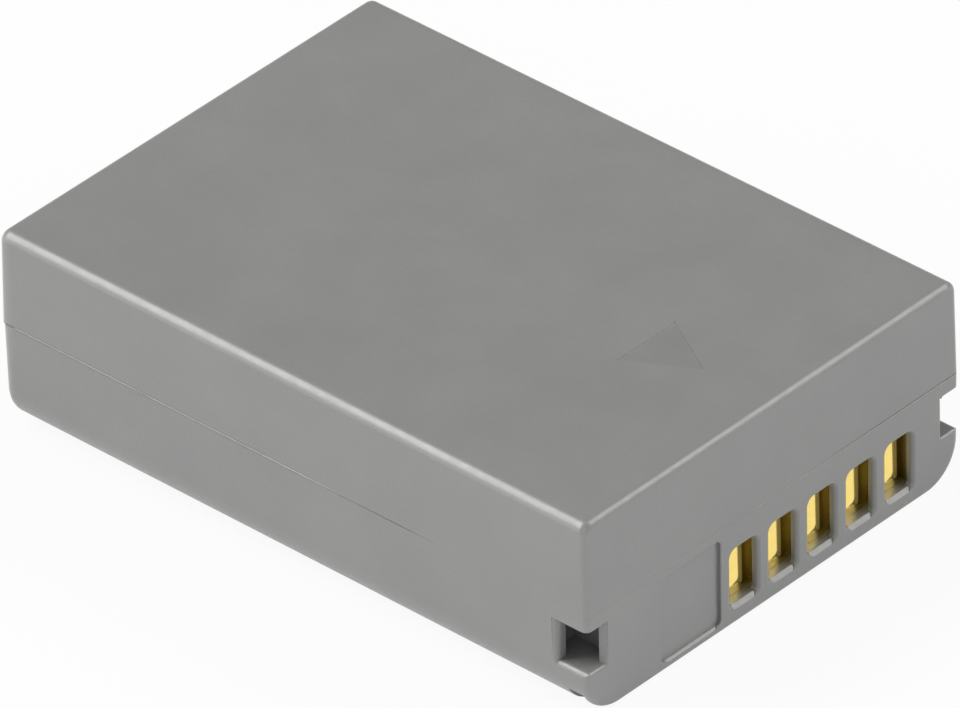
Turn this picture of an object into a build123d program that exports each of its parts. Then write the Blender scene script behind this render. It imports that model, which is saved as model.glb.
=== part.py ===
from build123d import *
import os
from math import cos, radians, sin, tan

os.makedirs("parts", exist_ok=True)

# A flat two-cell camera battery. X runs along it towards the contact end, Y across it, Z up from the
# middle of its bottom face. All sizes are in millimetres and all angles in degrees.

# Outside of the moulded case
pack_length = 50.0
pack_width = 35.4             # over the raised lips along the seam
pack_height = 14.95
seam_height = 7.95            # where the two case halves meet
upper_draft = 0.67            # lean of the upper half's sides and ends
lower_draft = 0.55            # lean of the lower half's sides and ends
end_step = 0.02               # lower half stands this far out at the contact end
rear_step = 0.08              # upper half stands this far out at the rear end
top_edge_radius = 0.8         # long top edges
top_edge_trim = 0.02          # the sides cut these rounds short, which leaves a crease
bottom_edge_radius = 3.0      # long bottom edges, which key the pack in its bay
end_edge_radius = 0.48        # outline of the contact end
rear_edge_radius = 0.6        # outline of the rear end
groove_height = 0.05          # fine groove under the upper half, which closes up at the near contact corner
groove_depth = 0.07
seam_round = 0.06             # lower half's top edge at the contact end
lip_reach = 0.06              # raised lips of the upper half along the seam, with sloping tops
lip_rise = 0.1
lip_root = 0.35               # how far the lips reach into the wall
slope = 45.0                  # of the lips' tops and of the ledges at the contact end

# Walls and the stepped joint between the halves
side_wall = 0.85
broad_wall = 0.6              # top and bottom
rear_wall = 0.9
contact_wall = 1.0            # also the depth of the contact slots
tongue_width = 0.38
tongue_height = 0.6
tongue_gap = 0.05

# Contact slots in the lower half
slot_count = 5
slot_pitch = 3.69
slot_width = 2.55
slot_floor = 1.45
slot_roof = 2.19              # from the seam down to the slots
slot_margin = 1.04            # from the last slot to the corner post
slot_corner_radius = 0.55     # upper corners
slot_floor_radius = 0.3       # lower corners
slot_edge_radius = 0.3        # rounded noses of the ribs between slots
slot_ledge_width = 2.35       # sloping front of each slot's floor
slot_ledge_depth = 0.27
rib_gap = 0.42                # open space between the ribs and the terminals

# Shallow panel beside the slots
panel_width = 5.6
panel_gap = 0.95              # from the panel to the first slot
panel_floor = 0.78
panel_roof = 0.7
panel_depth = 0.24
panel_corner_radius = 0.4
panel_edge_radius = 0.08
panel_ledge_depth = 0.15      # sloping front of the panel's lower edge

# Corner notches at the contact end, each with a post of solid wall behind it
notch_length = 2.55
notch_width = 1.75
notch_floor = 3.65
notch_roof = 1.05
notch_roof_radius = 0.15
notch_side_round = 0.4        # mouth in the long side
notch_end_round = 0.2         # mouth in the contact end
notch_undercut = 1.1          # the pocket widens behind its two mouths
notch_lip = 0.6               # wall beside the mouth in the contact end
post_wall = 0.6

# Flat relief on the rounded edge under each notch
relief_length = 1.25
relief_setback = 0.6
relief_depth = 0.2
relief_angle = 47.0           # below the horizontal

# Insertion arrow on the top face
arrow_length = 4.8
arrow_width = 5.4
arrow_setback = 5.8
arrow_depth = 0.04

# Cells, tape and cushion
tape_thickness = 0.1
tape_margin = 4.0             # tape stops this far inside the cell's outline
cell_side_gap = 0.2
cell_corner_radius = 2.6
cell_round_limit = 0.48       # largest corner radius as a share of the cell's thickness
cushion_thickness = 0.6
cushion_margin = 6.0
board_bay = 4.3               # from the cell lids to the contact wall
pole_radius = 1.5
pole_height = 0.6
gasket_width = 0.5
gasket_thickness = 0.3
pad_width = 4.0
pad_margin = 1.1              # from a weld pad to the long edges of its lid
pad_offset = 9.0              # weld pad from the pole, across the lid
sheet_thickness = 0.2
sheet_margin = 0.4
sheet_gap = 0.1

# Nickel strips
strip_thickness = 0.15
strip_width = 3.0
strip_bend = 0.3
foot_length = 2.0
negative_leg = 6.0            # leg of the negative tab from the middle
foot_margin = 0.8             # end feet from the board's ends

# Circuit board and what it carries
board_thickness = 0.8
board_gap = 0.1
board_headroom = 1.5
rib_length = 0.8              # ribs behind the board, along X
rib_reach = 0.7               # how far they lap behind the board
terminal_thickness = 0.3
terminal_lap = 0.42           # terminals reach this far past the slots

# Outline and rise of each chip on the board, with its place across the board and above its middle
chips = {
    "protection_chip": (3.0, 3.0, 0.9, -2.0, 2.6),
    "switch_chip": (4.4, 3.0, 1.0, 0.6, -2.4),
    "fuse": (3.2, 1.6, 0.6, -7.4, 2.0),
    "thermistor": (1.6, 0.8, 0.6, 5.4, 3.4),
    "resistor_1": (1.0, 0.5, 0.35, 2.6, 1.0),
    "resistor_2": (1.0, 0.5, 0.35, 4.4, 1.0),
    "resistor_3": (1.0, 0.5, 0.35, 6.2, 1.0),
    "capacitor_1": (1.6, 0.8, 0.8, -3.4, -4.9),
    "capacitor_2": (1.6, 0.8, 0.8, 4.6, -1.6),
}

match = 0.001                 # edges and faces are picked within this distance

# Places worked out from the sizes above
half_length = pack_length / 2
half_width = pack_width / 2 - lip_reach
upper_end = half_length - end_step
lower_rear = half_length - rear_step
bay_half_width = half_width - side_wall
bay_floor = broad_wall
bay_roof = pack_height - broad_wall
bay_rear = -half_length + rear_wall
bay_front = half_length - contact_wall
post_side = half_width - notch_width - notch_undercut - post_wall
post_rear = half_length - notch_length - notch_undercut - post_wall
notch_top = seam_height - notch_roof

slot_top = seam_height - slot_roof
last_slot = post_side - slot_margin - slot_width / 2
slot_middles = [last_slot - slot_pitch * (slot_count - 1 - i) for i in range(slot_count)]

cell_thickness = (bay_roof - bay_floor - 3 * tape_thickness) / 2
cell_edge_radius = min(cell_corner_radius, cell_round_limit * cell_thickness)
cell_half_width = bay_half_width - cell_side_gap
cell_rear = bay_rear + cushion_thickness
lid_plane = bay_front - board_bay
weld_plane = lid_plane + pole_height
cell_bases = {
    "lower": bay_floor + tape_thickness,
    "upper": bay_floor + 2 * tape_thickness + cell_thickness,
}
pad_height = cell_thickness - 2 * pad_margin
cell_middles = {name: base + cell_thickness / 2 for name, base in cell_bases.items()}
pad_places = {"lower": pad_offset, "upper": -pad_offset}

terminal_back = bay_front - terminal_thickness
board_back = terminal_back - board_thickness
board_half_width = post_side - board_gap
board_base = bay_floor + board_gap
board_top = bay_roof - board_headroom
board_mid = (board_base + board_top) / 2


def block(x, y, z):
    # Box between two limits along each axis
    size = [high - low for low, high in (x, y, z)]
    middle = [(high + low) / 2 for low, high in (x, y, z)]
    return Pos(*middle) * Box(*size)


def edge_round(radius):
    # Section that rounds an outside edge at the origin, with solid towards -X and -Y
    arc = RadiusArc((-radius, 0), (0, -radius), radius)
    return make_face(Wire([
        arc.edge(),
        Line(arc @ 1, (radius, -radius)).edge(),
        Line((radius, -radius), (radius, 0)).edge(),
        Line((radius, 0), arc @ 0).edge(),
    ]))


def side_section(reach, far_z, lean):
    # Section across the pack with leaning sides
    return Plane.YZ * Polygon(
        (-reach, seam_height),
        (reach, seam_height),
        (reach - lean, far_z),
        (lean - reach, far_z),
        align=None,
    )


def case_half(front, rear, far_z, draft, long_radius, trim=0.0):
    # Sides and ends lean in from the seam; the long edges are rounded, then the outline of both ends
    lean = tan(radians(draft)) * abs(far_z - seam_height)
    across = side_section(half_width + trim, far_z, lean)
    corners = across.vertices().filter_by(lambda v: abs(v.Z - far_z) < abs(v.Z - seam_height))
    along = Plane.XZ * Polygon(
        (-rear, seam_height), (front, seam_height), (front - lean, far_z), (lean - rear, far_z), align=None
    )
    half = extrude(fillet(corners, long_radius), pack_length, both=True)
    half &= extrude(along, pack_width, both=True)
    for end, radius in ((-1, end_edge_radius), (0, rear_edge_radius)):
        face = half.faces().sort_by(Axis.X)[end]
        outline = [edge for edge in face.edges() if abs(edge.center().Z - seam_height) > match]
        half = fillet(outline, radius)
    if trim > 0:
        half &= extrude(side_section(half_width, far_z, lean), pack_length, both=True)
    return half


def bay_prism(z, corner_radius, rounded_z):
    # Inside space of one case half, with its long edges at rounded_z rounded
    space = block((bay_rear, bay_front), (-bay_half_width, bay_half_width), z)
    edges = space.edges().filter_by(Axis.X).filter_by(lambda e: abs(e.center().Z - rounded_z) < match)
    return fillet(edges, corner_radius)


def seam_ring(outset, z):
    # Frame round the bay, used for the tongue and for the rebate that takes it
    outer = block(
        (bay_rear - outset, bay_front + outset),
        (-bay_half_width - outset, bay_half_width + outset),
        z,
    )
    return outer - block((bay_rear, bay_front), (-bay_half_width, bay_half_width), z)


def onto_end(cutter):
    # Turns a cutter square to the leaning contact end
    return cutter.rotate(Axis((half_length, 0, seam_height), (0, 1, 0)), lower_draft)


def end_opening(middle, z, width, low_radius, high_radius, back):
    # Opening in the contact end with rounded lower and upper corners, as deep as the plane at back
    low, high = z
    outline = Plane((back, middle, (low + high) / 2), x_dir=(0, 1, 0), z_dir=(1, 0, 0))
    outline *= Rectangle(width, high - low)
    outline = fillet(outline.vertices().group_by(Axis.Z)[0], low_radius)
    outline = fillet(outline.vertices().group_by(Axis.Z)[-1], high_radius)
    return onto_end(extrude(outline, pack_length))


def end_ledge(middle, floor, width, depth):
    # Slopes the front of a floor, with sloping ends; the cutter reaches one depth into the wall
    top = Plane((half_length, middle, floor), x_dir=(1, 0, 0), z_dir=(0, 0, -1))
    outline = top * Pos(-depth, 0) * Rectangle(contact_wall + depth, width, align=(Align.MIN, Align.CENTER))
    return onto_end(extrude(outline, depth, taper=slope))


def notch_mouth(corner, out, along, radius, reach):
    # Rounds a mouth's floor edge, its upright edge and the corner between them; out points off the case
    out, along, up = Vector(out), Vector(along), Vector(0, 0, 1)
    floor_edge = Plane(corner, x_dir=out, z_dir=out.cross(up)) * edge_round(radius)
    upright = Plane(corner, x_dir=out, z_dir=out.cross(along)) * edge_round(radius)
    mouth = extrude(floor_edge, reach, dir=along)
    mouth += extrude(upright, notch_top - notch_floor, dir=up)
    return mouth + revolve(floor_edge, Axis(corner, out))


def notch_cutter(side):
    # Corner pocket open to the long side and to the contact end; side is -1 or 1 along Y
    lean = tan(radians(lower_draft)) * (seam_height - notch_floor)
    wall_x = half_length - notch_length
    wall_y = half_width - notch_width
    pocket = block((wall_x, pack_length), (wall_y, pack_width), (notch_floor, notch_top))
    roof = pocket.faces().sort_by(Axis.Z)[-1].edges()
    pocket = fillet([roof.sort_by(Axis.X)[0], roof.sort_by(Axis.Y)[0]], notch_roof_radius)
    pocket += block(
        (wall_x - notch_undercut, half_length - notch_lip),
        (wall_y - notch_undercut, bay_half_width),
        (notch_floor, notch_top),
    )
    side_corner = (wall_x, half_width - lean, notch_floor)
    end_corner = (half_length - lean, wall_y, notch_floor)
    along_side = notch_length + end_edge_radius
    along_end = notch_width + end_edge_radius
    pocket += notch_mouth(side_corner, (0, 1, 0), (1, 0, 0), notch_side_round, along_side)
    pocket += notch_mouth(end_corner, (1, 0, 0), (0, 1, 0), notch_end_round, along_end)
    if side < 0:
        pocket = pocket.mirror(Plane.XZ)
    return pocket


def relief_cutter(side):
    # Small flat across the rounded bottom edge, under the notch
    lean = tan(radians(lower_draft)) * seam_height
    centre_y = half_width - lean - bottom_edge_radius
    reach = bottom_edge_radius - relief_depth
    out_y = cos(radians(relief_angle))
    out_z = -sin(radians(relief_angle))
    distance = reach + bottom_edge_radius / 2
    middle_x = half_length - lean - relief_setback - relief_length / 2
    tool = Box(relief_length, 2 * bottom_edge_radius, bottom_edge_radius)
    turn = Rot(-side * (90 + relief_angle), 0, 0)
    place = Pos(middle_x, side * (centre_y + distance * out_y), bottom_edge_radius + distance * out_z)
    return place * turn * tool


def end_rims(half):
    # Outlines of the openings in the contact end, from the near side to the far side
    end_face = half.faces().filter_by(lambda f: f.center().X > bay_front).sort_by(SortBy.AREA)[-1]
    return end_face.inner_wires().sort_by(Axis.Y)


def slotted_end(half):
    # Contact slots with rounded rims and sloping ledges, and the panel beside them
    for middle in slot_middles:
        slot_z = (slot_floor, slot_top)
        back = bay_front - slot_edge_radius
        half -= end_opening(middle, slot_z, slot_width, slot_floor_radius, slot_corner_radius, back)
    half = fillet([edge for rim in end_rims(half) for edge in rim.edges()], slot_edge_radius)
    for middle in slot_middles:
        half -= end_ledge(middle, slot_floor, slot_ledge_width, slot_ledge_depth)
    middle = slot_middles[0] - (slot_width + panel_width) / 2 - panel_gap
    panel_z = (panel_floor, seam_height - panel_roof)
    back = half_length - panel_depth
    half -= end_opening(middle, panel_z, panel_width, panel_corner_radius, panel_corner_radius, back)
    half = fillet(end_rims(half)[0].edges(), panel_edge_radius)
    ledge_width = panel_width - 2 * panel_corner_radius
    return half - end_ledge(middle, panel_floor, ledge_width, panel_ledge_depth)


def lower_case():
    half = case_half(half_length, lower_rear, 0, lower_draft, bottom_edge_radius)
    seam_corner = Plane((half_length, 0, seam_height), x_dir=(1, 0, 0), z_dir=(0, -1, 0))
    half -= extrude(seam_corner * edge_round(seam_round), pack_width, both=True)
    half = slotted_end(half)
    bay = bay_prism((bay_floor, seam_height), bottom_edge_radius - side_wall, bay_floor)
    for side in (-1, 1):
        inner, outer = sorted((side * post_side, side * bay_half_width))
        bay -= block((post_rear, bay_front), (inner, outer), (bay_floor, seam_height))
        rib_low, rib_high = sorted((side * (post_side - rib_reach), side * post_side))
        bay -= block((board_back - rib_length, board_back), (rib_low, rib_high), (bay_floor, seam_height))
    half -= bay
    half -= block(
        (bay_front - rib_gap, bay_front + rib_gap),
        (slot_middles[0] - slot_width / 2 - terminal_lap, slot_middles[-1] + slot_width / 2 + terminal_lap),
        (slot_floor, slot_top),
    )
    half += seam_ring(tongue_width, (seam_height - tongue_width, seam_height + tongue_height))
    for side in (-1, 1):
        half -= notch_cutter(side)
        half -= relief_cutter(side)
    return half


def seam_lip():
    # Lip along the far side, which sinks into the wall towards the contact end
    rear = 2 * rear_edge_radius - half_length
    front = upper_end - 2 * end_edge_radius
    plan = Pos(0, 0, seam_height + groove_height) * Polygon(
        (rear, half_width - lip_root),
        (front, half_width - lip_root),
        (front, half_width - lip_reach),
        (0, half_width + lip_reach),
        (rear, half_width + lip_reach),
        align=None,
    )
    return extrude(plan, lip_rise, taper=slope)


def groove_cutter():
    # Plate round the outline; its inside edge leaves the case along the near side and the contact end
    bottom = Pos(0, 0, seam_height) * Polygon(
        (groove_depth - half_length, groove_depth - half_width),
        (0, groove_depth - half_width),
        (upper_end + groove_depth, -half_width - groove_depth),
        (upper_end - groove_depth, half_width - groove_depth),
        (groove_depth - half_length, half_width - groove_depth),
        align=None,
    )
    plate = block(
        (-pack_length, pack_length), (-pack_width, pack_width), (seam_height, seam_height + groove_height)
    )
    return plate - extrude(bottom, groove_height)


def upper_case():
    half = case_half(upper_end, half_length, pack_height, upper_draft, top_edge_radius, top_edge_trim)
    lip = seam_lip()
    half += lip
    half += lip.mirror(Plane.XZ)
    half -= groove_cutter()
    half -= bay_prism((seam_height, bay_roof), tongue_gap + top_edge_radius / 2, bay_roof)
    half -= seam_ring(tongue_width + tongue_gap, (seam_height, seam_height + tongue_height + tongue_gap))
    tip = half_length - arrow_setback
    arrow = Pos(0, 0, pack_height) * Polygon(
        (tip, 0), (tip - arrow_length, arrow_width / 2), (tip - arrow_length, -arrow_width / 2), align=None
    )
    return half - extrude(arrow, -arrow_depth)


def cell(base):
    # Flat can with rounded long edges, sealed, with its lid towards the board
    can = block((cell_rear, lid_plane), (-cell_half_width, cell_half_width), (base, base + cell_thickness))
    return fillet(can.edges().filter_by(Axis.X), cell_edge_radius)


def disc_on_lid(radius, height, z):
    return Pos(lid_plane, 0, z) * extrude(Plane.YZ * Circle(radius), height)


def weld_pad(name, grow=0.0):
    y = pad_places[name]
    z = cell_middles[name]
    return block(
        (lid_plane, weld_plane),
        (y - pad_width / 2 - grow, y + pad_width / 2 + grow),
        (z - pad_height / 2 - grow, z + pad_height / 2 + grow),
    )


def lid_sheet():
    # Insulating sheet on both lids, open round the poles and the weld pads
    sheet = block(
        (lid_plane, lid_plane + sheet_thickness),
        (sheet_margin - cell_half_width, cell_half_width - sheet_margin),
        (cell_bases["lower"] + sheet_margin, cell_bases["upper"] + cell_thickness - sheet_margin),
    )
    sheet = fillet(sheet.edges().filter_by(Axis.X), cell_edge_radius)
    for name, z in cell_middles.items():
        sheet -= disc_on_lid(pole_radius + gasket_width + sheet_gap, pole_height, z)
        sheet -= weld_pad(name, sheet_gap)
    return sheet


def tape(base):
    return block(
        (cell_rear + tape_margin, lid_plane - tape_margin),
        (tape_margin - cell_half_width, cell_half_width - tape_margin),
        (base, base + tape_thickness),
    )


def series_link():
    # Flat angle from the upper pole down to the lower cell's weld pad
    plane = (weld_plane, weld_plane + strip_thickness)
    reach = strip_width / 2
    y = pad_places["lower"]
    high = cell_middles["upper"]
    bar = block(plane, (-reach, y + reach), (high - reach, high + reach))
    return bar + block(plane, (y - reach, y + reach), (cell_middles["lower"] - reach, high + reach))


def bent_tab(start, leg, seat_x, z):
    # Strip that lies on a weld from start to leg, crosses to the board and ends in a foot on it
    seat = seat_x + strip_thickness / 2
    foot_x = board_back - strip_thickness / 2
    outward = 1 if leg > start else -1
    path = FilletPolyline(
        (seat, start), (seat, leg), (foot_x, leg), (foot_x, leg + outward * foot_length), radius=strip_bend
    )
    return Pos(0, 0, z) * extrude(trace(path, strip_thickness), strip_width / 2, both=True)


def circuit_board():
    return block(
        (board_back, terminal_back),
        (-board_half_width, board_half_width),
        (board_base, board_top),
    )


def terminal(middle):
    reach = slot_width / 2 + terminal_lap
    return block(
        (terminal_back, bay_front),
        (middle - reach, middle + reach),
        (slot_floor - terminal_lap, slot_top + terminal_lap),
    )


def chip(width, height, rise, y, z):
    return block(
        (board_back - rise, board_back),
        (y - width / 2, y + width / 2),
        (board_mid + z - height / 2, board_mid + z + height / 2),
    )


end_leg = board_half_width - foot_margin - foot_length
half_strip = strip_width / 2
nodes = {
    "lower_case": lower_case(),
    "upper_case": upper_case(),
    "circuit_board": circuit_board(),
    "lid_sheet": lid_sheet(),
    "series_link": series_link(),
    "negative_tab": bent_tab(half_strip, -negative_leg, weld_plane, cell_middles["lower"]),
    "positive_tab": bent_tab(half_strip - pad_offset, -end_leg, weld_plane, cell_middles["upper"]),
    "midpoint_tab": bent_tab(
        pad_offset - half_strip, end_leg, weld_plane + strip_thickness, sum(cell_middles.values()) / 2
    ),
    "bottom_tape": tape(bay_floor),
    "middle_tape": tape(cell_bases["upper"] - tape_thickness),
    "top_tape": tape(bay_roof - tape_thickness),
    "rear_cushion": block(
        (bay_rear, cell_rear),
        (cushion_margin - cell_half_width, cell_half_width - cushion_margin),
        (cell_middles["lower"], cell_middles["upper"]),
    ),
}
for name, base in cell_bases.items():
    nodes[name + "_cell"] = cell(base)
    nodes[name + "_pole"] = disc_on_lid(pole_radius, pole_height, cell_middles[name])
    ring = disc_on_lid(pole_radius + gasket_width, gasket_thickness, cell_middles[name])
    nodes[name + "_gasket"] = ring - nodes[name + "_pole"]
    nodes[name + "_weld_pad"] = weld_pad(name)
for number, middle in enumerate(slot_middles, start=1):
    nodes[f"terminal_{number}"] = terminal(middle)
for name, size_and_place in chips.items():
    nodes[name] = chip(*size_and_place)

for name, shape in nodes.items():
    export_step(shape, f"parts/{name}.step")
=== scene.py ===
from math import radians

import bmesh
import bpy
from mathutils import Matrix, Quaternion, Vector, noise


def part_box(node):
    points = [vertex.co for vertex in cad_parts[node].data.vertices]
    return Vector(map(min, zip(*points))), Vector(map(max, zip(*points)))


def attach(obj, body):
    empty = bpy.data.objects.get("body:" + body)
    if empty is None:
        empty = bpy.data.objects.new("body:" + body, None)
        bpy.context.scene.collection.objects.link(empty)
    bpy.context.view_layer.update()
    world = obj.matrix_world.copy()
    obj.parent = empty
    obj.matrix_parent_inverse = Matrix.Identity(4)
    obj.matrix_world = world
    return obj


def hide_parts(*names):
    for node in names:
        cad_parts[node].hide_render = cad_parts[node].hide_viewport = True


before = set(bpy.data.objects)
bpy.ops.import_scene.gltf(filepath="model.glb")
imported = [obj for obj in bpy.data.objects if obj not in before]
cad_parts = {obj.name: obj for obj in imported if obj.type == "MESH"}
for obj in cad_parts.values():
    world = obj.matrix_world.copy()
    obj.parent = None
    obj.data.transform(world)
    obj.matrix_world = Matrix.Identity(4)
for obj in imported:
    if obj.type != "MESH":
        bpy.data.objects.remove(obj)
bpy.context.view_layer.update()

scene = bpy.context.scene
scene.view_settings.view_transform = "Standard"
mm = 0.001  # the frame is in metres, sizes below are in millimetres
print("frame loaded:", len(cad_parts), "pieces")


# helpers for the finishes

noiseSpan = (0.3, 0.7)  # where most values of a noise lie
black = (0, 0, 0, 1)
white = (1, 1, 1, 1)


def newFinish(name):
    # material with a principled shader and a texture space in millimetres
    finish = bpy.data.materials.new(name)
    finish.use_nodes = True
    tree = finish.node_tree
    shader = tree.nodes["Principled BSDF"]
    place = tree.nodes.new("ShaderNodeTexCoord")
    space = stretched(tree, place.outputs["Object"], (1 / mm, 1 / mm, 1 / mm))
    return finish, tree, shader, space


def stretched(tree, space, scale):
    # the same texture space drawn out or drawn in along each axis
    mapping = tree.nodes.new("ShaderNodeMapping")
    mapping.inputs["Scale"].default_value = scale
    tree.links.new(space, mapping.inputs["Vector"])
    return mapping.outputs["Vector"]


def noiseOf(tree, space, perMm, detail=3.0, roughness=0.6):
    texture = tree.nodes.new("ShaderNodeTexNoise")
    texture.inputs["Scale"].default_value = perMm
    texture.inputs["Detail"].default_value = detail
    texture.inputs["Roughness"].default_value = roughness
    tree.links.new(space, texture.inputs["Vector"])
    return texture.outputs["Fac"]


def axesOf(tree, vector):
    axes = tree.nodes.new("ShaderNodeSeparateXYZ")
    tree.links.new(vector, axes.inputs["Vector"])
    return axes.outputs


def facingOf(tree):
    # the way the surface faces, axis by axis
    surface = tree.nodes.new("ShaderNodeNewGeometry")
    return axesOf(tree, surface.outputs["Normal"])


def rampOf(tree, fac, stops):
    ramp = tree.nodes.new("ShaderNodeValToRGB")
    elements = ramp.color_ramp.elements
    while len(elements) < len(stops):
        elements.new(0.5)
    for element, (position, colour) in zip(elements, stops):
        element.position = position
        element.color = (*colour, 1)
    tree.links.new(fac, ramp.inputs["Fac"])
    return ramp.outputs["Color"]


def rangeOf(tree, fac, low, high, fromLow=0.0, fromHigh=1.0):
    spread = tree.nodes.new("ShaderNodeMapRange")
    spread.inputs["From Min"].default_value = fromLow
    spread.inputs["From Max"].default_value = fromHigh
    spread.inputs["To Min"].default_value = low
    spread.inputs["To Max"].default_value = high
    tree.links.new(fac, spread.inputs["Value"])
    return spread.outputs["Result"]


def feed(tree, target, value):
    # a socket is linked, a plain value is set
    if isinstance(value, bpy.types.NodeSocket):
        tree.links.new(value, target)
    else:
        target.default_value = value


def mixOf(tree, fac, below, above, mode="MIX"):
    mix = tree.nodes.new("ShaderNodeMix")
    mix.data_type = "RGBA"
    mix.blend_type = mode
    sockets = {socket.identifier: socket for socket in mix.inputs}
    for identifier, value in (("Factor_Float", fac), ("A_Color", below), ("B_Color", above)):
        feed(tree, sockets[identifier], value)
    return next(socket for socket in mix.outputs if socket.identifier == "Result_Color")


def mathOf(tree, operation, first, second=0.0):
    node = tree.nodes.new("ShaderNodeMath")
    node.operation = operation
    for target, value in zip(node.inputs, (first, second)):
        feed(tree, target, value)
    return node.outputs["Value"]


def productOf(tree, first, *others):
    for other in others:
        first = mathOf(tree, "MULTIPLY", first, other)
    return first


def bumpOf(tree, height, strength, depth, normal=None):
    # depth in millimetres
    bump = tree.nodes.new("ShaderNodeBump")
    bump.inputs["Strength"].default_value = strength
    bump.inputs["Distance"].default_value = depth * mm
    tree.links.new(height, bump.inputs["Height"])
    if normal is not None:
        tree.links.new(normal, bump.inputs["Normal"])
    return bump.outputs["Normal"]


def softEdge(tree, radius, samples):
    # rounds the last sharp edges of a moulding in the shading, radius in millimetres
    bevel = tree.nodes.new("ShaderNodeBevel")
    bevel.samples = samples
    bevel.inputs["Radius"].default_value = radius * mm
    return bevel.outputs["Normal"]


# moulded case: satin grey plastic

casePlastic = {
    "mottlePerMm": 0.16,
    "shades": ((0.3, (0.230, 0.233, 0.230)), (0.5, (0.239, 0.241, 0.237)), (0.7, (0.249, 0.250, 0.246))),
    "grain": {
        "perMm": 7.0,
        "shades": ((0.25, (0.955, 0.955, 0.955)), (0.75, (1.045, 1.045, 1.045))),
        "depth": 0.006,
        "bump": 0.35,
    },
    "fleck": {
        "perMm": 0.85, "inner": 0.02, "outer": 0.07, "shade": (0.31, 0.31, 0.30),
        "chancePerMm": 0.5, "never": 0.58, "always": 0.66, "strength": 0.7,
    },
    # painted light on the upright corners: a paler shade where the lit shading dips
    "corner": {"endFrom": 23.6, "sideFrom": 16.4, "rim": 0.3, "shade": (0.300, 0.300, 0.294)},
    # painted light along the rear ends of the long sides
    "paintedRearLight": {"edge": -24.9, "inner": -23.8, "falloff": 1.4, "shade": (0.370, 0.366, 0.350)},
    # painted shade in deep recesses
    "recessShade": {"reach": 3.0, "samples": 8, "deep": 0.16, "open": 0.55, "shade": 0.45},
    "arrow": {"tip": 19.2, "length": 4.8, "halfWidth": 2.7, "rim": 0.3, "above": 14.5, "shade": 0.065},
    # painted shade on the lip over the parting line of the long sides
    "seam": {
        "height": 8.04, "half": 0.12, "clear": -3.0, "gone": 3.0,
        "inner": 17.2, "outer": 17.5, "shade": 0.28,
    },
    "roughness": (0.3, 0.38),
    "roughPerMm": 2.2,
    "specular": 0.8,
    "edge": {"radius": 0.05, "samples": 6},
}


def fleckShare(tree, space, fleck):
    # sparse spots, in some places only
    cells = tree.nodes.new("ShaderNodeTexVoronoi")
    cells.inputs["Scale"].default_value = fleck["perMm"]
    tree.links.new(space, cells.inputs["Vector"])
    spot = rangeOf(tree, cells.outputs["Distance"], 1.0, 0.0, fleck["inner"], fleck["outer"])
    cloud = noiseOf(tree, space, fleck["chancePerMm"], detail=1.0, roughness=0.5)
    chance = rangeOf(tree, cloud, 0.0, fleck["strength"], fleck["never"], fleck["always"])
    return productOf(tree, spot, chance)


def paintedCornerLightShare(tree, space, corner):
    # painted light: 1 in the middle of the pack's rounded upright corners, 0 where they meet the flat sides
    axes = axesOf(tree, space)
    facing = facingOf(tree)
    turned = mathOf(tree, "ABSOLUTE", productOf(tree, facing["X"], facing["Y"]))
    share = productOf(tree, turned, 2.0)
    for axis, start in (("X", corner["endFrom"]), ("Y", corner["sideFrom"])):
        reach = mathOf(tree, "ABSOLUTE", axes[axis])
        share = productOf(tree, share, rangeOf(tree, reach, 0.0, 1.0, start, start + corner["rim"]))
    return share


def paintedRearLightShare(tree, space, band):
    # painted light: 1 where the long sides turn into the rear end, fading out along the sides
    axes = axesOf(tree, space)
    facing = facingOf(tree)
    nearEdge = rangeOf(tree, axes["X"], 1.0, 0.0, band["edge"], band["inner"])
    nearEdge = mathOf(tree, "POWER", nearEdge, band["falloff"])
    return productOf(tree, nearEdge, mathOf(tree, "ABSOLUTE", facing["Y"]))


def paintedRecessShadeShare(tree, recessShade):
    # painted shade: the deeper and narrower the hollow, the more
    hollow = tree.nodes.new("ShaderNodeAmbientOcclusion")
    hollow.samples = recessShade["samples"]
    hollow.inputs["Distance"].default_value = recessShade["reach"] * mm
    openShare = rangeOf(tree, hollow.outputs["AO"], 0.0, 1.0, recessShade["deep"], recessShade["open"])
    return productOf(tree, mathOf(tree, "SUBTRACT", 1.0, openShare), 1 - recessShade["shade"])


def arrowShare(tree, space, arrow):
    # the insertion arrow's floor, with a soft rim
    axes = axesOf(tree, space)
    base = arrow["tip"] - arrow["length"]
    fromBase = rangeOf(tree, axes["X"], 0.0, 1.0, base, base + arrow["rim"])
    slope = arrow["halfWidth"] / arrow["length"]
    sideRoom = productOf(tree, mathOf(tree, "SUBTRACT", arrow["tip"], axes["X"]), slope)
    sideRoom = mathOf(tree, "SUBTRACT", sideRoom, mathOf(tree, "ABSOLUTE", axes["Y"]))
    fromSides = rangeOf(tree, sideRoom, 0.0, 1.0, 0.0, arrow["rim"])
    onTop = mathOf(tree, "GREATER_THAN", axes["Z"], arrow["above"])
    return productOf(tree, fromBase, fromSides, onTop, arrow["shade"])


def seamShare(tree, space, seam):
    # painted shade on the lip over the long sides' parting line, running out with it towards the contact end
    axes = axesOf(tree, space)
    offset = mathOf(tree, "ABSOLUTE", mathOf(tree, "SUBTRACT", axes["Z"], seam["height"]))
    line = rangeOf(tree, offset, 1.0, 0.0, 0.0, seam["half"])
    kept = rangeOf(tree, axes["X"], 1.0, 0.0, seam["clear"], seam["gone"])
    width = mathOf(tree, "ABSOLUTE", axes["Y"])
    onSide = rangeOf(tree, width, 0.0, 1.0, seam["inner"], seam["outer"])
    return productOf(tree, line, kept, onSide, seam["shade"])


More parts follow.
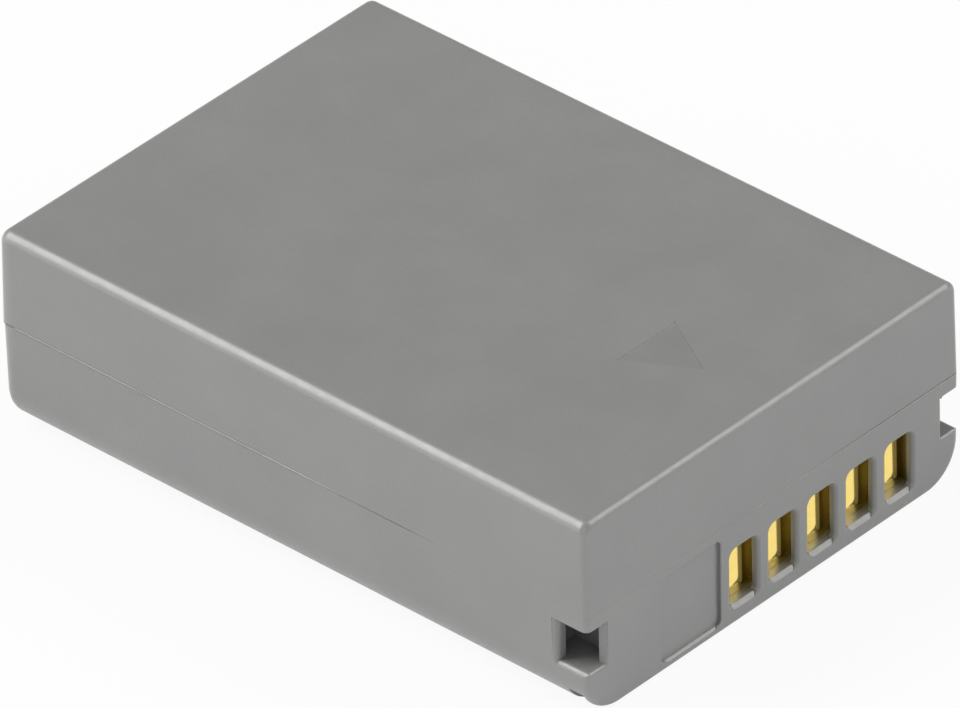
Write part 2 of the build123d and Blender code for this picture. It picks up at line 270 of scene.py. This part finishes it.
def makeCasePlastic():
    look = casePlastic
    finish, tree, shader, space = newFinish("casePlastic")
    colour = rampOf(tree, noiseOf(tree, space, look["mottlePerMm"]), look["shades"])
    grain = noiseOf(tree, space, look["grain"]["perMm"])
    colour = mixOf(tree, 1.0, colour, rampOf(tree, grain, look["grain"]["shades"]), "MULTIPLY")
    # paler: sparse flecks, then painted light on the upright corners and on the rear ends of the long sides
    for key, shareOf in (("fleck", fleckShare), ("corner", paintedCornerLightShare), ("paintedRearLight", paintedRearLightShare)):
        colour = mixOf(tree, shareOf(tree, space, look[key]), colour, (*look[key]["shade"], 1))
    # darker: painted shade in deep recesses, the arrow's floor, and painted shade on the lip over the parting
    # line
    colour = mixOf(tree, paintedRecessShadeShare(tree, look["recessShade"]), colour, black)
    colour = mixOf(tree, arrowShare(tree, space, look["arrow"]), colour, black)
    colour = mixOf(tree, seamShare(tree, space, look["seam"]), colour, black)
    tree.links.new(colour, shader.inputs["Base Color"])
    rough = noiseOf(tree, space, look["roughPerMm"], roughness=0.5)
    tree.links.new(rangeOf(tree, rough, *look["roughness"], *noiseSpan), shader.inputs["Roughness"])
    shader.inputs["Specular IOR Level"].default_value = look["specular"]
    rounded = softEdge(tree, look["edge"]["radius"], look["edge"]["samples"])
    normal = bumpOf(tree, grain, look["grain"]["bump"], look["grain"]["depth"], rounded)
    tree.links.new(normal, shader.inputs["Normal"])
    return finish


# contact plates: bright gold plating over rolled metal

goldPlate = {
    "shades": ((0.3, (0.97, 0.725, 0.21)), (0.6, (1.0, 0.765, 0.23))),
    "roughness": (0.04, 0.09),
    "rollPerMm": (0.6, 1.0, 3.0),
    "rollDepth": 0.0002,
    "bump": 0.25,
}


def makeGoldPlate():
    look = goldPlate
    finish, tree, shader, space = newFinish("goldPlate")
    rolled = noiseOf(tree, stretched(tree, space, look["rollPerMm"]), 1.0)
    tree.links.new(rampOf(tree, rolled, look["shades"]), shader.inputs["Base Color"])
    tree.links.new(rangeOf(tree, rolled, *look["roughness"], *noiseSpan), shader.inputs["Roughness"])
    tree.links.new(bumpOf(tree, rolled, look["bump"], look["rollDepth"]), shader.inputs["Normal"])
    shader.inputs["Metallic"].default_value = 1.0
    return finish


# circuit board: glass laminate under green lacquer, with copper runs below it

boardLacquer = {
    "shades": ((0.2, (0.012, 0.085, 0.035)), (0.8, (0.03, 0.16, 0.06))),
    "roughness": (0.28, 0.4),
    "run": {"perMm": 0.55, "width": 0.09, "smooth": 0.2, "between": 0.15, "depth": 0.03, "bump": 0.5},
    "weave": {"perMm": 2.5, "shades": ((0.35, (0.6, 0.6, 0.6)), (0.65, (1, 1, 1))), "strength": 0.3},
}


def makeBoard():
    look = boardLacquer
    run, weave = look["run"], look["weave"]
    finish, tree, shader, space = newFinish("boardLacquer")
    runs = tree.nodes.new("ShaderNodeTexBrick")
    runs.inputs["Scale"].default_value = run["perMm"]
    runs.inputs["Mortar Size"].default_value = run["width"]
    runs.inputs["Mortar Smooth"].default_value = run["smooth"]
    runs.inputs["Color1"].default_value = black
    runs.inputs["Color2"].default_value = (run["between"], run["between"], run["between"], 1)
    runs.inputs["Mortar"].default_value = white
    # the pattern lies in the board's plane, across the pack
    turned = tree.nodes.new("ShaderNodeMapping")
    turned.inputs["Rotation"].default_value = (0, radians(90), radians(90))
    tree.links.new(space, turned.inputs["Vector"])
    tree.links.new(turned.outputs["Vector"], runs.inputs["Vector"])
    cloth = noiseOf(tree, space, weave["perMm"])
    colour = rampOf(tree, runs.outputs["Color"], look["shades"])
    colour = mixOf(tree, weave["strength"], colour, rampOf(tree, cloth, weave["shades"]), "MULTIPLY")
    tree.links.new(colour, shader.inputs["Base Color"])
    tree.links.new(rangeOf(tree, cloth, *look["roughness"], *noiseSpan), shader.inputs["Roughness"])
    tree.links.new(bumpOf(tree, runs.outputs["Color"], run["bump"], run["depth"]), shader.inputs["Normal"])
    return finish


# small grained finishes that differ only in their numbers:
# two shades, roughness, grain size, how far it is drawn out, bump depth, metal, specular level

grainedFinishes = {
    "chip_black": {
        "name": "chipBlack",
        "shades": ((0.012, 0.012, 0.013), (0.03, 0.03, 0.032)), "roughness": (0.45, 0.62),
        "grainPerMm": 9.0, "drawnOut": (1, 1, 1), "depth": 0.01, "metallic": 0.0, "specular": 0.4,
    },
    "chip_ceramic": {
        "name": "chipCeramic",
        "shades": ((0.42, 0.33, 0.24), (0.52, 0.43, 0.33)), "roughness": (0.4, 0.55),
        "grainPerMm": 12.0, "drawnOut": (1, 1, 1), "depth": 0.006, "metallic": 0.0, "specular": 0.5,
    },
    "cell_can": {
        "name": "cellCan",
        "shades": ((0.62, 0.63, 0.64), (0.74, 0.75, 0.76)), "roughness": (0.28, 0.42),
        "grainPerMm": 5.0, "drawnOut": (0.06, 1, 1), "depth": 0.004, "metallic": 1.0, "specular": 0.5,
    },
    "nickel": {
        "name": "nickelStrip",
        "shades": ((0.5, 0.48, 0.44), (0.62, 0.6, 0.56)), "roughness": (0.22, 0.38),
        "grainPerMm": 6.0, "drawnOut": (1, 0.08, 1), "depth": 0.004, "metallic": 1.0, "specular": 0.5,
    },
    "gasket": {
        "name": "gasketResin",
        "shades": ((0.55, 0.55, 0.52), (0.66, 0.66, 0.62)), "roughness": (0.4, 0.55),
        "grainPerMm": 4.0, "drawnOut": (1, 1, 1), "depth": 0.006, "metallic": 0.0, "specular": 0.5,
    },
    "insulating_sheet": {
        "name": "fibreSheet",
        "shades": ((0.2, 0.28, 0.3), (0.3, 0.38, 0.4)), "roughness": (0.65, 0.85),
        "grainPerMm": 3.5, "drawnOut": (1, 0.35, 1), "depth": 0.02, "metallic": 0.0, "specular": 0.3,
    },
    "tape": {
        "name": "tapeFilm",
        "shades": ((0.62, 0.6, 0.5), (0.72, 0.7, 0.6)), "roughness": (0.5, 0.7),
        "grainPerMm": 1.4, "drawnOut": (1, 1, 1), "depth": 0.01, "metallic": 0.0, "specular": 0.4,
    },
    "foam": {
        "name": "foamRubber",
        "shades": ((0.02, 0.02, 0.021), (0.05, 0.05, 0.052)), "roughness": (0.8, 0.95),
        "grainPerMm": 6.0, "drawnOut": (1, 1, 1), "depth": 0.06, "metallic": 0.0, "specular": 0.2,
    },
}

# what these finishes share: large faint clouds over the fine grain
grainClouds = {"grainsAcross": 12, "shades": ((0.3, (0.86, 0.86, 0.86)), (0.7, (1, 1, 1)))}
grainBump = 0.4


def makeGrained(look):
    finish, tree, shader, space = newFinish(look["name"])
    grain = noiseOf(tree, stretched(tree, space, look["drawnOut"]), look["grainPerMm"], detail=4.0)
    cloudPerMm = look["grainPerMm"] / grainClouds["grainsAcross"]
    cloud = noiseOf(tree, space, cloudPerMm, detail=2.0, roughness=0.5)
    colour = rampOf(tree, grain, list(zip(noiseSpan, look["shades"])))
    colour = mixOf(tree, 1.0, colour, rampOf(tree, cloud, grainClouds["shades"]), "MULTIPLY")
    tree.links.new(colour, shader.inputs["Base Color"])
    tree.links.new(rangeOf(tree, grain, *look["roughness"], *noiseSpan), shader.inputs["Roughness"])
    tree.links.new(bumpOf(tree, grain, grainBump, look["depth"]), shader.inputs["Normal"])
    shader.inputs["Metallic"].default_value = look["metallic"]
    shader.inputs["Specular IOR Level"].default_value = look["specular"]
    return finish


finishes = {"case_plastic": makeCasePlastic(), "gold_plate": makeGoldPlate(), "board": makeBoard()}
for slotName, look in grainedFinishes.items():
    finishes[slotName] = makeGrained(look)
print("finishes made:", len(finishes))

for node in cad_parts.values():
    for slot in node.material_slots:
        slot.material = finishes[slot.material.name.split(".")[0]]
print("finishes given to", len(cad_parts), "pieces")


# foam strip behind the cells: squeezed flat between them and the rear wall,
# with its sides pulled in and open pores on its rim

foamStrip = {"edgeRound": 0.2, "waist": 0.15, "poreDepth": 0.09, "porePerMm": 2.6, "cuts": 40}


def makeFoamStrip():
    look = foamStrip
    low, high = (Vector(corner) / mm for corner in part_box("rear_cushion"))
    middle, half = (low + high) / 2, (high - low) / 2
    edgeRound = look["edgeRound"]
    body = bmesh.new()
    bmesh.ops.create_cube(body, size=2.0)
    bmesh.ops.subdivide_edges(body, edges=body.edges[:], cuts=look["cuts"], use_grid_fill=True)
    for vert in body.verts:
        spot = Vector(c * h for c, h in zip(vert.co, half))
        core = Vector(max(edgeRound - h, min(h - edgeRound, c)) for c, h in zip(spot, half))
        rim = (spot - core).normalized()
        spot = core + rim * edgeRound
        across, upward = spot.y / half.y, spot.z / half.z
        pore = look["poreDepth"] * (0.5 + 0.5 * noise.noise((spot + middle) * look["porePerMm"]))
        rimShare = Vector((0, rim.y, rim.z)).length
        spot.y *= 1 - look["waist"] / half.y * (1 - upward ** 2)
        spot.z *= 1 - look["waist"] / half.z * (1 - across ** 2)
        spot -= Vector((0, rim.y, rim.z)) * pore * rimShare
        vert.co = (middle + spot) * mm
    mesh = bpy.data.meshes.new("foamStrip")
    body.to_mesh(mesh)
    body.free()
    mesh.polygons.foreach_set("use_smooth", [True] * len(mesh.polygons))
    mesh.materials.append(finishes["foam"])
    strip = bpy.data.objects.new("foamStrip", mesh)
    scene.collection.objects.link(strip)
    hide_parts("rear_cushion")
    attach(strip, "root")


makeFoamStrip()
print("foam strip made")


# floor: white where it is seen, pale paper where it is lit, and it keeps a light shadow
studioFloor = {"halfSize": 3.0, "below": 0.02, "shade": (0.77, 0.785, 0.79), "whiteShare": 0.92}


def seenDirectly(tree):
    # 1 for camera, glossy and transmission rays, which show the white background
    path = tree.nodes.new("ShaderNodeLightPath")
    either = mathOf(tree, "MAXIMUM", path.outputs["Is Camera Ray"], path.outputs["Is Glossy Ray"])
    return mathOf(tree, "MAXIMUM", either, path.outputs["Is Transmission Ray"])


def makeFloorPaper():
    look = studioFloor
    finish = bpy.data.materials.new("floorPaper")
    finish.use_nodes = True
    tree = finish.node_tree
    tree.nodes.remove(tree.nodes["Principled BSDF"])
    paper = tree.nodes.new("ShaderNodeBsdfDiffuse")
    paper.inputs["Color"].default_value = (*look["shade"], 1)
    glow = tree.nodes.new("ShaderNodeEmission")
    glow.inputs["Strength"].default_value = 1.0
    blend = tree.nodes.new("ShaderNodeMixShader")
    tree.links.new(productOf(tree, seenDirectly(tree), look["whiteShare"]), blend.inputs[0])
    tree.links.new(paper.outputs["BSDF"], blend.inputs[1])
    tree.links.new(glow.outputs["Emission"], blend.inputs[2])
    tree.links.new(blend.outputs["Shader"], tree.nodes["Material Output"].inputs["Surface"])
    return finish


def makeFloor():
    look = studioFloor
    reach = look["halfSize"]
    corners = [(-reach, -reach, 0), (reach, -reach, 0), (reach, reach, 0), (-reach, reach, 0)]
    mesh = bpy.data.meshes.new("studioFloor")
    mesh.from_pydata(corners, [], [(0, 1, 2, 3)])
    mesh.materials.append(makeFloorPaper())
    floor = bpy.data.objects.new("studioFloor", mesh)
    scene.collection.objects.link(floor)
    floor.location.z = -look["below"] * mm


# sky of the studio: dim and even, the same for every ray
studioSky = {"colour": (0.99, 1.0, 1.0), "light": 0.17}


def makeSky():
    world = bpy.data.worlds.new("studioSky")
    scene.world = world
    world.use_nodes = True
    background = world.node_tree.nodes["Background"]
    background.inputs["Color"].default_value = (*studioSky["colour"], 1)
    background.inputs["Strength"].default_value = studioSky["light"]


# lamps: soft boxes aimed at the pack; from and size in metres, turn in degrees about the aim
softBoxes = {
    "keyBox": {
        "from": (-0.563, -0.412, 0.716), "size": (0.35, 0.9), "turn": 45,
        "watts": 8.1, "tint": (1.0, 0.985, 0.955),
    },
    "lowBox": {
        "from": (-0.56, -0.8, 0.2), "size": (0.5, 0.4), "turn": 0,
        "watts": 1.5, "tint": (0.985, 1.0, 1.0),
    },
    "frontBox": {
        "from": (0.62, -0.66, 0.42), "size": (0.7, 0.5), "turn": 0,
        "watts": 1.9, "tint": (0.96, 1.0, 0.985),
    },
    "sideBox": {
        "from": (0.95, 0.1, 0.3), "size": (0.5, 0.4), "turn": 0,
        "watts": 0.2, "tint": (0.96, 1.0, 0.985),
    },
    "rimBox": {
        "from": (0.79, 0.595, 0.13), "size": (0.5, 0.3), "turn": 0,
        "watts": 0.7, "tint": (0.96, 1.0, 0.985),
    },
    "fillBox": {
        "from": (0.42, 0.595, 0.685), "size": (0.35, 0.95), "turn": -45,
        "watts": 5.4, "tint": (1.0, 0.99, 0.97),
    },
}
lampAim = (0, 0, 0.007)  # about the middle of the pack


def makeLamps():
    for name, look in softBoxes.items():
        light = bpy.data.lights.new(name, "AREA")
        light.shape = "RECTANGLE"
        light.size, light.size_y = look["size"]
        light.energy = look["watts"]
        light.color = look["tint"]
        lamp = bpy.data.objects.new(name, light)
        scene.collection.objects.link(lamp)
        lamp.location = look["from"]
        towards = Vector(lampAim) - lamp.location
        turn = Quaternion((0, 0, 1), radians(look["turn"]))
        lamp.rotation_euler = (towards.to_track_quat("-Z", "Y") @ turn).to_euler()


makeFloor()
makeSky()
makeLamps()
print("stage and lamps set")


# camera at the photograph's place; aim and distance in millimetres, angles in degrees, clip in metres
viewCamera = {
    "aim": (-0.046, 0.185, 7.237),
    "distance": 1125.9,
    "azimuth": 43.047,
    "elevation": 35.089,
    "roll": -1.559,
    "lens": 666.87,
    "sensor": 36.0,
    "clip": (0.01, 20.0),
}


def makeCamera():
    look = viewCamera
    data = bpy.data.cameras.new("viewCamera")
    data.sensor_fit = "HORIZONTAL"
    data.sensor_width = look["sensor"]
    data.lens = look["lens"]
    data.clip_start, data.clip_end = look["clip"]
    camera = bpy.data.objects.new("viewCamera", data)
    scene.collection.objects.link(camera)
    turn = Matrix.Rotation(radians(look["azimuth"]), 4, "Z")
    turn = turn @ Matrix.Rotation(radians(90 - look["elevation"]), 4, "X")
    turn = turn @ Matrix.Rotation(radians(look["roll"]), 4, "Z")
    backward = turn.to_3x3() @ Vector((0, 0, 1))
    spot = (Vector(look["aim"]) + backward * look["distance"]) * mm
    camera.matrix_world = Matrix.Translation(spot) @ turn
    scene.camera = camera


makeCamera()
print("camera set")
